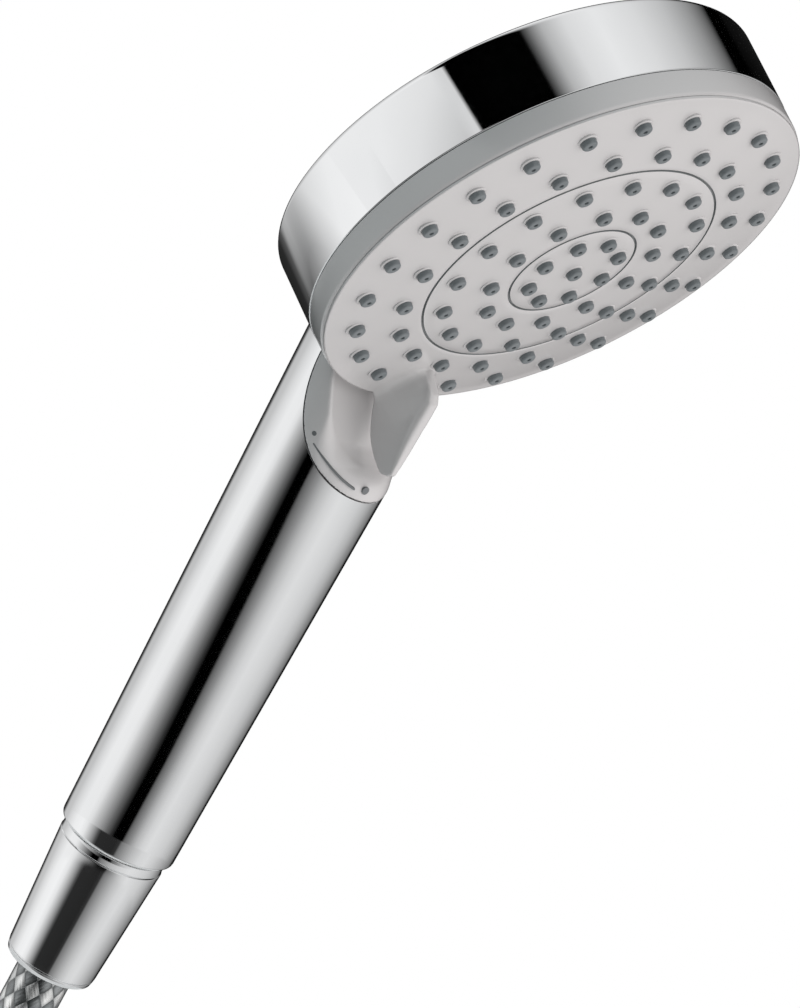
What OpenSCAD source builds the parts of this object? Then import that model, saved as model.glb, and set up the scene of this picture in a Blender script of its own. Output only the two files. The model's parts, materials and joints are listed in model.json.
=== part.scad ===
// Handheld shower head with a conical hose nut, a braided hose and a hexagonal wall nut.
// Millimetres. The origin is the centre of the handle's lower end, +Z runs up the handle
// and the spray face looks towards -Y.

/* [Head] */
// Outer diameter of the chrome head
head_d = 100.6; // [96:0.2:106]
// Angle between the spray face's normal and the horizontal, face down
head_tilt = 25.2; // [22:0.1:28]
// Height of the spray face's centre above the handle's lower end
head_height = 154.3; // [150:0.1:160]
// Distance of the spray face's centre in front of the handle's axis
head_reach = 29.8; // [28:0.1:32]
// Thickness of the chrome head behind the front ring
head_depth = 17.2; // [16:0.2:20]

/* [Handle] */
// Diameter of the handle at its lower end
handle_d = 25.3; // [25:0.1:27]
// Growth of the handle's diameter over 100 mm of height
handle_growth = 4.14; // [3.6:0.02:4.6]
// Wall thickness of the handle
handle_wall = 2.2; // [2:0.1:2.4]

/* [Spray face] */
// Diameter of a nozzle at its root
nozzle_d = 3.3; // [3:0.1:3.8]
// Height of a nozzle above the face
nozzle_out = 1.3; // [1:0.1:2]
// Swing of the selector between its two settings, in degrees
selector_swing = 14; // [12:0.5:15]

/* [Nuts] */
// Diameter of the conical nut at its top
cone_top_d = 23.2; // [23:0.1:24]
// Diameter of the conical nut at its lower end
cone_low_d = 19.7; // [19:0.1:20.4]
// Width across the flats of the hexagonal nut
hex_flats = 22; // [22:0.5:24]

/* [Hose] */
// Outer diameter of the hose
hose_d = 12; // [11.5:0.1:12]
// Radius of the coil at the middle of its turns
coil_r = 59.5; // [58:0.5:60]

/* [Hidden] */
$fn = 72;

// Sliding gap between the turning face and what stands still
gap = 0.3;
// Radial clearance of a shaft in its bearing
running = 0.08;

// Heights in the head's own frame: 0 is the face's outer groove, positive is outwards
dome_top = 1.76;
dome_r = 267;
lip_z = -2.95;
ring_top_z = lip_z - gap;
ring_low_z = -9.1;
flange_low_z = -11;
cup_back_z = ring_low_z - head_depth;
cup_floor_z = cup_back_z + 2;
plate_top_z = -7.5;
plate_low_z = -10;
carrier_top_z = -13;
carrier_low_z = -15.5;
boss_low_z = -18.2;
hub_low_z = -18.5;
washer_low_z = -19.3;
channel_z = -19.3;

// Radii in the head's own frame
head_r = head_d / 2;
cup_in_r = head_r - 1.8;
ring_r = head_r - 0.1;
lip_r = head_r - 0.4;
skirt_r = head_r - 1.5;
skirt_in_r = skirt_r - 2.1;
skirt_low_z = ring_low_z + 1;
flange_in_r = cup_in_r - 1.4;
ring_in_r = skirt_r + gap + 0.05;
groove_r = [13.3, 30.7];
nozzle_rings = [[8, 9.4], [12, 18.1], [16, 26.6], [20, 35.2], [24, 43.7]];
mat_t = 1.2;
shell_t = 2.2;
hub_r = 5;
port_r = [20, 34];

// The tongue: a disc across the handle cuts its outline, a turned hollow dishes its middle
tongue_y = -23.5;
tongue_z = 114;
tongue_r = 25.3;
tongue_proud = 0.1;
dish_r = 54;
dish_z = 7;
dish_round = 6.3;
dish_foot_r = 49.2;
dish_foot_z = -9;

// The torus that rounds the fin's back edge
fin_back_r = 42.2;
fin_back_z = 12.6;
fin_back_round = 17.3;

// Handle, water way and nipple
handle_r = handle_d / 2;
slope = handle_growth / 200;
way_y = 3.5;
way_r = 4.15;
way_bore_r = 3;
way_low_z = 14;
way_top_z = 126;
nipple_r = 10.22;
nipple_low_z = -9;

// Conical nut and the fitting inside it
nut_top_z = -0.5;
nut_step_z = -3.3;
nut_edge_z = -30.3;
nut_low_z = -32.3;
nut_seat_z = -13.3;
ferrule_wall = 1;
hose_r = hose_d / 2;

// Route of the hose, its coil and its tail
run_points = [
  [0, 0, -16], [0, 0, -40], [0, 0, -64], [0, 0, -88], [0, 0, -112], [0, 0, -134],
  [0, 0, -153], [2, 0, -168.5], [8, 0, -183], [17.5, 0, -195.5], [30, 0, -205],
  [44.5, 0, -211], [60, 0, -213]
];
coil_turns = 3.5;
coil_pitch = 12.5;
coil_top_z = -213;
coil_low_z = coil_top_z - coil_turns * coil_pitch;
coil_x = 60;
coil_y = coil_r;
tail_y = coil_y + coil_r;
wall_z = -250.5;
tail_points = [
  [60, tail_y, coil_low_z], [50, tail_y, -256.5], [40, tail_y, -255.5],
  [31, tail_y, -253], [23, tail_y, -251], [15, tail_y, wall_z], [8, tail_y, wall_z],
  [0, tail_y, wall_z]
];

// Moves its children into the head's frame: +Z is the spray direction, -Y is towards the handle
module head_frame() {
  translate([0, -head_reach, head_height])
    rotate([90 + head_tilt, 0, 0])
      children();
}

// Moves its children to the wall end of the hose: +Z points out of the hexagonal nut
module wall_frame() {
  translate([0, tail_y, wall_z])
    rotate([0, -90, 0])
      children();
}

// A ring or, with no inner radius, a disc between two heights
module ring(outer, inner, low, high) {
  difference() {
    translate([0, 0, low])
      cylinder(r = outer, h = high - low);
    if (inner > 0)
      translate([0, 0, low - 1])
        cylinder(r = inner, h = high - low + 2);
  }
}

// An O-ring of a given centre radius and section radius
module o_ring(centre, section, height) {
  translate([0, 0, height])
    rotate_extrude()
      translate([centre, 0])
        circle(r = section, $fn = 24);
}

// The handle's cone, moved outwards or inwards, between two heights
module handle_cone(offset_r, low, high) {
  translate([0, 0, low])
    cylinder(
      r1 = handle_r + slope * low + offset_r,
      r2 = handle_r + slope * high + offset_r,
      h = high - low
    );
}

// Everything below the face's dome, moved down by a depth
module under_dome(depth) {
  translate([0, 0, dome_top - dome_r - depth])
    sphere(r = dome_r, $fn = 200);
}

// Height of the dome over the groove plane at a radius
function dome_at(r) = dome_top - dome_r + sqrt(dome_r * dome_r - r * r);

// The hollow that dishes the tongue, grown by an amount, in the head's frame: a round bottom
// that runs out in a cone towards the disc
module dish(grow) {
  slant = atan2(dish_z - dish_foot_z, dish_r - dish_foot_r)
    - asin(dish_round / norm([dish_r - dish_foot_r, dish_z - dish_foot_z]));
  out = [sin(slant), -cos(slant)];
  rotate_extrude() {
    translate([dish_r, dish_z])
      circle(r = dish_round + grow);
    polygon([
      [20, dish_foot_z], [dish_foot_r, dish_foot_z] + grow * out,
      [dish_r, dish_z] + (dish_round + grow) * out, [dish_r, dish_z + dish_round + grow],
      [20, dish_z + dish_round + grow]
    ]);
  }
}

// The torus that the fin's back edge follows
module fin_back() {
  translate([0, 0, fin_back_z])
    rotate_extrude()
      translate([fin_back_r, 0])
        circle(r = fin_back_round);
}

// The water tube's line through the handle
module way_line(radius, low, high) {
  translate([0, way_y, low])
    cylinder(r = radius, h = high - low);
}

// Places one child at each nozzle; the outer ring leaves out the place of the selector fin
module at_nozzles() {
  translate([0, 0, dome_top])
    children();
  for (line = nozzle_rings)
    for (i = [0 : line[0] - 1])
      if (!(i == 0 && line[0] == 24))
        rotate([0, 0, i * 360 / line[0]])
          translate([0, -line[1], dome_at(line[1])])
            children();
}

// Chrome body: a cup for the head and a hollow conical handle in one piece
module housing() {
  color("gainsboro")
    difference() {
      union() {
        head_frame()
          cup();
        difference() {
          handle_blank();
          head_frame()
            ring(head_r - 1, 0, cup_back_z, 40);
        }
      }
      handle_cone(-handle_wall, -1, way_top_z - 6);
      head_frame()
        ring(head_r + 1, 0, ring_low_z - 0.1, 40);
      tongue_cut();
    }
}

// The cup with its rounded back edge, a shallow back dome and three screw bosses
module cup() {
  edge = 1.5;
  difference() {
    intersection() {
      union() {
        ring(head_r, 0, cup_back_z + edge, ring_low_z - 0.1);
        ring(head_r - edge, 0, cup_back_z - 2, cup_back_z + edge);
        o_ring(head_r - edge, edge, cup_back_z + edge);
      }
      translate([0, 0, cup_back_z - 1.9 + 600])
        sphere(r = 600, $fn = 300);
    }
    ring(cup_in_r, 0, cup_floor_z, 0);
  }
  for (a = [60, 180, 300])
    rotate([0, 0, a])
      translate([0, -40, 0])
        ring(3.4, 1.2, cup_floor_z - 0.5, carrier_low_z - 0.1);
}

// The handle's outside with its rounded lower edge
module handle_blank() {
  edge = 0.8;
  handle_cone(0, edge, 120);
  cylinder(r = handle_r - edge, h = edge);
  o_ring(handle_r - edge, edge, edge);
}

// The opening in the handle that the front ring's tongue fills
module tongue_cut() {
  difference() {
    translate([0, tongue_y, tongue_z])
      rotate([0, 90, 0])
        cylinder(r = tongue_r + 0.1, h = 60, center = true, $fn = 120);
    head_frame()
      ring(head_r, 0, -40, ring_low_z - 0.1);
  }
}

// Satin ring round the face, with the dished tongue that covers the top of the handle
module front_ring() {
  color("silver")
    difference() {
      union() {
        head_frame() {
          ring(ring_r, ring_in_r, ring_low_z, ring_top_z);
          ring(cup_in_r - 0.05, flange_in_r, flange_low_z, ring_low_z);
          ring(ring_in_r + 0.2, flange_in_r, ring_low_z - 0.01, skirt_low_z - gap);
        }
        tongue();
      }
      way_line(way_r + 0.45, 90, way_top_z);
      marks(0.06, 1);
    }
}

// The tongue: handle skin outside, a dish of even wall in the middle
module tongue() {
  difference() {
    intersection() {
      translate([0, tongue_y, tongue_z])
        rotate([0, 90, 0])
          cylinder(r = tongue_r, h = 60, center = true, $fn = 120);
      handle_cone(tongue_proud, 80, 130);
    }
    head_frame() {
      ring(ring_in_r + 0.01, 0, -40, 40);
      ring(head_r + 0.1, 0, -40, ring_low_z);
      dish(0);
    }
    difference() {
      handle_cone(-handle_wall, 80, 130);
      head_frame()
        dish(2);
    }
  }
}

// Two dots and a curved line that show the two settings, sunk in the tongue's skin
module mode_marks() {
  color("dimgray")
    marks(-0.01, 0.03);
}

// The marks' shapes, grown all round and standing rise above the tongue's skin
module marks(grow, rise) {
  intersection() {
    difference() {
      handle_cone(tongue_proud + rise, 85, 105);
      handle_cone(tongue_proud - 0.4 - grow, 84, 106);
    }
    union() {
      mark_dot(7.5, 93, 0.85 + grow);
      mark_dot(68.5, 99.6, 0.5 + grow);
      head_frame()
        rotate([0, 0, -90 - 12.4 - grow])
          rotate_extrude(angle = 8.2 + 2 * grow)
            translate([62.5 - grow, 0])
              square([0.35 + 2 * grow, 20]);
    }
  }
}

// A round mark at an angle round the handle and a height on it
module mark_dot(angle, height, radius) {
  translate([0, 0, height])
    rotate([0, 0, -90 - angle])
      rotate([0, 90, 0])
        cylinder(r = radius, h = 30, $fn = 32);
}

// Inner frame of the head: bearing for the face, valve ports and the last stretch of water way
module carrier() {
  color("dimgray")
    difference() {
      union() {
        head_frame()
          carrier_body();
        intersection() {
          way_line(way_r + 1.2, 118, 130);
          head_frame()
            ring(cup_in_r - 0.3, 0, cup_floor_z + 0.05, carrier_top_z);
        }
      }
      way_line(way_r + 0.05, 110, way_top_z);
      way_line(way_bore_r, 110, 131);
      head_frame()
        carrier_holes();
    }
}

module carrier_body() {
  ring(cup_in_r - 0.2, 0, carrier_low_z, carrier_top_z);
  ring(9, 0, boss_low_z, carrier_top_z + 1);
  translate([0, -12, channel_z])
    rotate([90, 0, 0])
      cylinder(r = 4.9, h = 27);
}

module carrier_holes() {
  ring(hub_r + running, 0, -30, 0);
  translate([0, -14, channel_z])
    rotate([90, 0, 0])
      cylinder(r = way_bore_r, h = 23);
  for (r = port_r)
    translate([0, -r, 0]) {
      ring(2.6, 0, channel_z, 0);
      ring(4.2, 0, carrier_top_z - 1.2, 0);
    }
  for (a = [60, 180, 300])
    rotate([0, 0, a])
      translate([0, -40, 0])
        ring(1.5, 0, -20, 0);
}

// Three pan-head screws that hold the carrier in the cup
module carrier_screws() {
  color("gray")
    head_frame()
      for (a = [60, 180, 300])
        rotate([0, 0, a])
          translate([0, -40, 0])
            pan_screw();
}

module pan_screw() {
  difference() {
    union() {
      ring(2.6, 0, carrier_top_z, carrier_top_z + 1.6);
      ring(1.15, 0, -22, carrier_top_z);
    }
    translate([0, 0, carrier_top_z + 1.2])
      cube([4, 0.7, 1.8], center = true);
  }
}

// Rubber sleeves that seal the two ports against the turning plate
module port_seals() {
  color("black")
    head_frame()
      for (r = port_r)
        translate([0, -r, 0])
          ring(4.15, 2.6, carrier_top_z - 1.2, plate_low_z - 0.15);
}

// Bent steel leaf that clicks the face into each setting
module detent_spring() {
  color("lightgray")
    head_frame() {
      rotate([0, 0, 70])
        rotate_extrude(angle = 40)
          translate([24, carrier_top_z])
            square([0.5, 2.4]);
      for (a = [70, 106])
        rotate([0, 0, a])
          rotate_extrude(angle = 4)
            translate([22, carrier_top_z])
              square([2.1, 0.5]);
    }
}

// Turning face: domed disc with two grooves, eighty nozzle holes, a skirt and the selector fin
module spray_face() {
  color("gainsboro")
    head_frame() {
      difference() {
        face_blank();
        intersection() {
          under_dome(shell_t);
          ring(skirt_in_r, 0, -20, 10);
        }
        for (r = groove_r)
          ring(r + 0.25, r - 0.25, dome_at(r) - 0.4, 10);
        at_nozzles()
          ring(nozzle_d / 2, 0, -8, 8);
      }
      fin();
    }
}

module face_blank() {
  edge = 0.6;
  intersection() {
    under_dome(0);
    union() {
      ring(skirt_r, 0, skirt_low_z, 10);
      ring(lip_r, 0, lip_z, lip_z + edge);
      ring(lip_r - edge, 0, lip_z, 10);
      o_ring(lip_r - edge, edge, lip_z + edge);
    }
  }
}

// Selector fin: a tapered blade whose back edge follows the dished tongue
module fin() {
  intersection() {
    rotate([90, 0, -90])
      linear_extrude(height = 12, center = true)
        polygon([
          [37.4, dome_at(38) - 1], [38.6, 3.2], [39.3, 5.2], [41, 6.6], [46, 8.5],
          [55.2, 12.1], [56.8, 12.3], [57.9, 11.4], [58.7, 9.4], [58.7, -4], [37.4, -4]
        ]);
    fin_plan();
    fin_back();
    difference() {
      ring(70, 0, dome_at(48) - 1.1, 30);
      ring(90, lip_r - 0.2, -30, lip_z);
    }
  }
}

// The fin seen along the spray direction: widest in its middle, rounded at both ends
module fin_plan() {
  translate([0, 0, -10])
    linear_extrude(height = 40)
      hull() {
        translate([0, -40.6])
          circle(r = 2.4, $fn = 32);
        translate([0, -48])
          circle(r = 3.4, $fn = 32);
        translate([0, -57])
          circle(r = 1.7, $fn = 32);
      }
}

// Silicone mat behind the face with its eighty nozzles
module nozzle_mat() {
  color("slategray")
    head_frame()
      difference() {
        union() {
          difference() {
            intersection() {
              under_dome(shell_t + 0.05);
              ring(skirt_in_r - 0.1, 0, -12, 10);
            }
            under_dome(shell_t + mat_t);
          }
          at_nozzles()
            nozzle();
        }
        at_nozzles()
          ring(0.5, 0, -12, 8);
      }
}

module nozzle() {
  translate([0, 0, -shell_t - 0.6])
    cylinder(r = nozzle_d / 2 - 0.05, h = shell_t + 0.6, $fn = 32);
  cylinder(r1 = nozzle_d / 2 - 0.05, r2 = nozzle_d / 2 - 0.25, h = nozzle_out, $fn = 32);
}

// Plate welded behind the mat: it parts the water into chambers and carries the hub
module chamber_plate() {
  color("dimgray")
    head_frame()
      difference() {
        union() {
          ring(skirt_in_r - 0.1, 0, plate_low_z, plate_top_z);
          for (r = concat(groove_r, [skirt_in_r - 0.7]))
            ring(r + 0.6, r - 0.6, plate_top_z - 0.1, dome_at(r + 0.6) - shell_t - mat_t - 0.08);
          ring(hub_r, 0, hub_low_z, plate_low_z + 0.1);
        }
        ring(1.2, 0, -30, plate_low_z + 1);
        ring(hub_r + 1, hub_r - 0.9, -15.9, -14.9);
        plate_port(port_r[0], 0);
        plate_port(port_r[1], selector_swing);
      }
}

// A water port through the chamber plate; the swing brings it over the carrier's port
module plate_port(radius, angle) {
  rotate([0, 0, angle])
    translate([0, -radius, 0])
      ring(2.4, 0, plate_low_z - 1, plate_top_z + 1);
}

// O-ring in the hub's groove
module hub_seal() {
  color("black")
    head_frame()
      o_ring(hub_r - 0.47, 0.42, -15.4);
}

// Steel washer behind the carrier's bearing
module hub_washer() {
  color("silver")
    head_frame()
      ring(7.2, 1.7, washer_low_z, hub_low_z);
}

// Screw that holds the hub in the carrier
module centre_screw() {
  color("gray")
    head_frame()
      difference() {
        union() {
          ring(3.2, 0, washer_low_z - 2, washer_low_z);
          ring(1.15, 0, washer_low_z, -11);
        }
        for (a = [0, 90])
          rotate([0, 0, a])
            translate([0, 0, washer_low_z - 2])
              cube([3.6, 0.8, 2], center = true);
      }
}

// Plastic tube that carries the water up the handle
module water_tube() {
  color("whitesmoke")
    difference() {
      way_line(way_r, way_low_z, way_top_z);
      way_line(way_bore_r, 0, 140);
      for (z = [17, 122])
        difference() {
          way_line(way_r + 1, z - 0.5, z + 0.5);
          way_line(way_r - 0.6, z - 1, z + 1);
        }
    }
}

// O-rings at the tube's two ends
module tube_seals() {
  color("black")
    for (z = [17, 122])
      translate([0, way_y, 0])
        o_ring(way_r - 0.27, 0.3, z);
}

// Threaded inlet at the foot of the handle, G 1/2 outside
module inlet_nipple() {
  color("darkgray")
    difference() {
      union() {
        ring(nipple_r, 0, nipple_low_z, 0.3);
        ring(handle_r - handle_wall - 0.06, 0, 0.3, 13);
        way_line(way_r + 1.6, 12, 22);
      }
      ring(5.5, 0, nipple_low_z - 1, 8);
      ring(7.5, 0, nipple_low_z - 1, nipple_low_z + 2);
      way_line(way_bore_r, 4, 30);
      way_line(way_r + 0.05, way_low_z, 30);
      ring(20, 9, 9, 10.6);
    }
}

// O-ring between the nipple and the handle
module nipple_seal() {
  color("black")
    o_ring(9.72, 0.66, 9.8);
}

// Flow-limiting insert in the nipple
module flow_restrictor() {
  color("seagreen")
    difference() {
      ring(5.4, 0, -3, 3);
      ring(1.2, 0, -4, 4);
      for (a = [0 : 60 : 300])
        rotate([0, 0, a])
          translate([3.3, 0, 0])
            ring(0.8, 0, -4, 4);
      ring(4.4, 0, -4, -1);
    }
}

// Fine dirt screen in the mouth of the nipple
module filter_screen() {
  color("lightgray")
    difference() {
      ring(7.4, 0, nipple_low_z + 0.6, nipple_low_z + 1.9);
      for (r = [1.4, 3, 4.6])
        for (i = [0 : 5 + r * 3])
          rotate([0, 0, i * 360 / floor(6 + r * 3)])
            translate([r, 0, 0])
              ring(0.4, 0, nipple_low_z, nipple_low_z + 3, $fn = 16);
    }
}

// Rubber washer between the nipple and the hose's flange
module sealing_washer() {
  color("black")
    ring(8.9, 5, nipple_low_z - 2, nipple_low_z);
}

// Conical nut that joins the hose to the handle and sits in a wall holder
module cone_nut() {
  color("gainsboro")
    rotate_extrude()
      polygon(concat(
        [
          [nipple_r + running, nut_top_z], [cone_top_d / 2 - 0.3, nut_top_z],
          [cone_top_d / 2, nut_top_z - 0.3], [cone_top_d / 2 - 0.1, nut_step_z],
          [cone_top_d / 2 - 0.25, nut_step_z - 0.15], [cone_low_d / 2, nut_edge_z]
        ],
        [for (a = [15 : 15 : 75]) [
          cone_low_d / 2 - 1.6 * (1 - cos(a)),
          nut_edge_z - 2 * sin(a)
        ]],
        [
          [cone_low_d / 2 - 1.6, nut_low_z], [7.6, nut_low_z], [7.4, nut_low_z + 0.4],
          [7.4, nut_seat_z], [9.3, nut_seat_z], [9.3, nipple_low_z - 0.6],
          [nipple_r + running, nipple_low_z - 0.2]
        ]
      ));
}

// Metal insert in the near end of the hose
module hose_nipple() {
  color("goldenrod")
    hose_insert(nipple_low_z - 2);
}

// A flanged insert with a barbed tail, from its flange face along -Z
module hose_insert(face_z) {
  difference() {
    union() {
      ring(8.9, 0, face_z - 2, face_z);
      ring(5.4, 0, face_z - 4.9, face_z);
      for (i = [0 : 3])
        translate([0, 0, face_z - 8 - 3 * i])
          cylinder(r1 = 3.9, r2 = 4.3, h = 3.2);
    }
    ring(3, 0, face_z - 30, face_z + 1);
  }
}

// Crimped sleeve round the near end of the hose
module hose_ferrule() {
  color("silver")
    ring(hose_r + ferrule_wall, hose_r + 0.05, -29, -14);
}

// Sweeps a round tube along a list of points
module sweep(points, radius, sides) {
  count = len(points);
  rings = [for (i = [0 : count - 1]) tube_ring(points, i, radius, sides)];
  verts = [for (line = rings) for (p = line) p];
  walls = [for (i = [0 : count - 2]) for (k = [0 : sides - 1]) [
    i * sides + k,
    (i + 1) * sides + k,
    (i + 1) * sides + (k + 1) % sides,
    i * sides + (k + 1) % sides
  ]];
  first = [for (k = [0 : sides - 1]) k];
  last = [for (k = [sides - 1 : -1 : 0]) (count - 1) * sides + k];
  polyhedron(points = verts, faces = concat(walls, [first, last]), convexity = 6);
}

// Every route lies in a plane of constant Y, so its side direction is +Y throughout
function tube_ring(points, i, radius, sides) =
  let (
    before = points[max(i - 1, 0)],
    after = points[min(i + 1, len(points) - 1)],
    along = (after - before) / norm(after - before),
    side = [0, 1, 0],
    up = cross(along, side)
  )
  [for (k = [0 : sides - 1])
    points[i] + radius * (cos(k * 360 / sides) * side + sin(k * 360 / sides) * up)];

// Hose from the conical nut down to the coil
module hose_run() {
  color("silver")
    sweep(run_points, hose_r, 12);
}

// Outer shape of the coiled length of hose
module hose_coil() {
  color("silver")
    translate([coil_x, coil_y, 0])
      rotate_extrude()
        translate([coil_r, 0])
          coil_section(0);
}

// The coil's cross-section, grown by an amount
module coil_section(grow) {
  translate([0, coil_top_z])
    circle(r = hose_r + grow, $fn = 48);
  translate([0, coil_low_z])
    circle(r = hose_r + grow, $fn = 48);
  translate([-hose_r - grow, coil_low_z])
    square([hose_d + 2 * grow, coil_top_z - coil_low_z]);
}

// Hose from the coil to the wall fitting
module hose_tail() {
  color("silver")
    sweep(tail_points, hose_r, 12);
}

// Band that holds the coil's turns together
module coil_tie() {
  color("dimgray")
    translate([coil_x, coil_y, 0])
      rotate([0, 0, 20])
        rotate_extrude(angle = 12)
          translate([coil_r, 0])
            difference() {
              coil_section(0.55);
              coil_section(0.05);
            }
}

// Crimped sleeve round the far end of the hose
module wall_ferrule() {
  color("silver")
    wall_frame()
      ring(hose_r + ferrule_wall + 0.2, hose_r + 0.05, -14, 0);
}

// Metal insert in the far end of the hose
module wall_nipple() {
  color("goldenrod")
    wall_frame()
      hose_insert(4);
}

// Rubber washer in the hexagonal nut
module wall_washer() {
  color("black")
    wall_frame()
      ring(9, 5, 4, 5.9);
}

// Hexagonal nut, G 1/2 inside, that screws onto the wall outlet
module hex_nut() {
  corner = hex_flats / sqrt(3);
  color("gainsboro")
    wall_frame()
      difference() {
        intersection() {
          translate([0, 0, -6])
            cylinder(r = corner, h = 20, $fn = 6);
          translate([0, 0, -6])
            cylinder(r1 = corner - 1, r2 = corner + 9, h = 20);
          translate([0, 0, -6])
            cylinder(r1 = corner + 9, r2 = corner - 1, h = 20);
        }
        ring(7.5, 0, -10, 5);
        ring(9.5, 0, 1.7, 6);
        ring(9.3, 0, 5, 15);
      }
}

housing();
front_ring();
mode_marks();
carrier();
carrier_screws();
port_seals();
detent_spring();
spray_face();
nozzle_mat();
chamber_plate();
hub_seal();
hub_washer();
centre_screw();
water_tube();
tube_seals();
inlet_nipple();
nipple_seal();
flow_restrictor();
filter_screen();
sealing_washer();
cone_nut();
hose_nipple();
hose_ferrule();
hose_run();
hose_coil();
hose_tail();
coil_tie();
wall_ferrule();
wall_nipple();
wall_washer();
hex_nut();
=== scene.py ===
"""Looks of a handheld shower head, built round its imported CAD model.

Lengths are written in millimetres and turned into metres where a mesh is made. Two frames are
used: the row frame (origin at the foot of the handle, +Z up the handle) and the head frame
(origin in the middle of the spray face, +Z the spray direction, -Y towards the handle).
"""

import json
import math

import bpy
import numpy as np
from mathutils import Matrix, Vector


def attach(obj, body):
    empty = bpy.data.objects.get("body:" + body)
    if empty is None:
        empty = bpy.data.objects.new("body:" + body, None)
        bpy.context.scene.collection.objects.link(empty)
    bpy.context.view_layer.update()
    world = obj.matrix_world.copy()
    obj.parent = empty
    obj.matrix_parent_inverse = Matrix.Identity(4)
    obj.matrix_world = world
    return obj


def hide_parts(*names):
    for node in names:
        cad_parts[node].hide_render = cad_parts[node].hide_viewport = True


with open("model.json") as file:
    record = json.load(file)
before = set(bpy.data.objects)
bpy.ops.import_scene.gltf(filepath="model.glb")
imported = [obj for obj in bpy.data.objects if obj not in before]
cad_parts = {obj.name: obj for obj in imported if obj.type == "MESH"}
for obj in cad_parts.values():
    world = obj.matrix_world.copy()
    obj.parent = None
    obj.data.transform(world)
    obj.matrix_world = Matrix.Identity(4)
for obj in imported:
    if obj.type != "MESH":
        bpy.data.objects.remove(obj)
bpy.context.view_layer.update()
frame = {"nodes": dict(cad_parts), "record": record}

MM = 0.001
NODE = frame["nodes"]

# ---------------------------------------------------------------- shared dimensions, in mm

# The face looks forwards and down, by HEAD_TILT; the rows of HEAD_AXES are the head frame's axes
HEAD_TILT = math.radians(25.2)
HEAD_CENTRE = np.array([0.0, -29.8, 154.3])
HEAD_AXES = np.array(
    [
        [1.0, 0.0, 0.0],
        [0.0, -math.sin(HEAD_TILT), math.cos(HEAD_TILT)],
        [0.0, -math.cos(HEAD_TILT), -math.sin(HEAD_TILT)],
    ]
)

# Radii and heights of the drum, the satin ring and the turning face, in the head frame
HEAD_R = 50.3
CUP_IN_R = 48.5
CUP_BACK = -26.3
CUP_FLOOR = -24.3
RING_LOW = -9.1
RING_TOP = -3.25
RING_R = 50.2
RING_IN_R = 49.15
LIP_R = 49.9
LIP_LOW = -2.95
SKIRT_R = 48.8
SKIRT_IN_R = 46.7
FACE_WALL = 2.2

# The face's dome and its two grooves
DOME_TOP = 1.76
DOME_R = 267.0
GROOVE_RADII = (13.3, 30.7)
GROOVE_HALF = 0.25
GROOVE_DEPTH = 0.4

# Nozzles: (count, radius) of each ring round the middle one, the count of the ring that the fin
# breaks, and a nozzle's radius, height and hole
NOZZLE_RINGS = ((8, 9.4), (12, 18.1), (16, 26.6), (20, 35.2), (24, 43.7))
FIN_RING_COUNT = 24
NOZZLE_R = 1.62
NOZZLE_OUT = 1.28
NOZZLE_HOLE_R = 0.42

# The handle's lower end, its growth in radius per mm of height, its wall and its top
HANDLE_R = 12.65
HANDLE_SLOPE = 0.0207
HANDLE_WALL = 2.2
HANDLE_TOP = 120.0

# The tongue: a disc across the handle cuts its outline, a turned hollow dishes its middle
TONGUE_Y = -23.5
TONGUE_Z = 114.0
TONGUE_R = 25.3
TONGUE_PROUD = 0.1
TONGUE_GAP = 0.06
DISH_R = 54.0
DISH_Z = 7.0
DISH_ROUND = 6.3
DISH_FOOT = (49.2, -9.0)

# The torus that rounds the fin's back edge
FIN_BACK_R = 42.2
FIN_BACK_Z = 12.6
FIN_BACK_ROUND = 17.3

HOSE_D = 12.0


# ---------------------------------------------------------------- frames and small helpers

def to_row(points):
    """Head-frame points in the row frame."""
    return np.asarray(points, float) @ HEAD_AXES + HEAD_CENTRE


def to_head(points):
    """Row-frame points in the head frame."""
    return (np.asarray(points, float) - HEAD_CENTRE) @ HEAD_AXES.T


def dome_at(radius):
    """Height of the spray face over its groove plane at a radius."""
    return DOME_TOP - DOME_R + np.sqrt(DOME_R**2 - np.square(radius))


def mesh_object(name, points, faces, sharp=32.0):
    """A smooth-shaded mesh from points in mm, with its edges above an angle kept sharp."""
    mesh = bpy.data.meshes.new(name)
    mesh.from_pydata((np.asarray(points) * MM).tolist(), [], faces)
    mesh.validate()
    shade(mesh, sharp)
    obj = bpy.data.objects.new(name, mesh)
    bpy.context.collection.objects.link(obj)
    return obj


def shade(mesh, sharp=32.0):
    """Smooth shading with sharp edges where faces meet at more than an angle."""
    mesh.shade_smooth()
    mesh.set_sharp_from_angle(angle=math.radians(sharp))


def finish_piece(obj, body, slot, material, *nodes):
    """Gives a new piece its body and material, and hides the CAD nodes it stands for; the slot is not
    used.
    """
    obj.data.materials.clear()
    obj.data.materials.append(material)
    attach(obj, body)
    if nodes:
        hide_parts(*nodes)
    return obj


# ---------------------------------------------------------------- outlines and turned shapes

def rounded(corners, steps=5):
    """An outline of (radius, height, rounding) corners with each rounding drawn as an arc."""
    outline = []
    count = len(corners)
    for i, (x, y, rounding) in enumerate(corners):
        here = np.array([x, y], float)
        if rounding <= 0:
            outline.append(here)
            continue
        before = np.array(corners[i - 1][:2], float) - here
        after = np.array(corners[(i + 1) % count][:2], float) - here
        before /= np.linalg.norm(before)
        after /= np.linalg.norm(after)
        half = math.acos(np.clip(before @ after, -1, 1)) / 2
        reach = rounding / math.tan(half)
        middle = here + (before + after) / np.linalg.norm(before + after) * rounding / math.sin(half)
        start = here + before * reach - middle
        end = here + after * reach - middle
        for t in np.linspace(0, 1, steps + 1):
            spoke = start * (1 - t) + end * t
            outline.append(middle + spoke / np.linalg.norm(spoke) * rounding)
    return np.array(outline)


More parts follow.
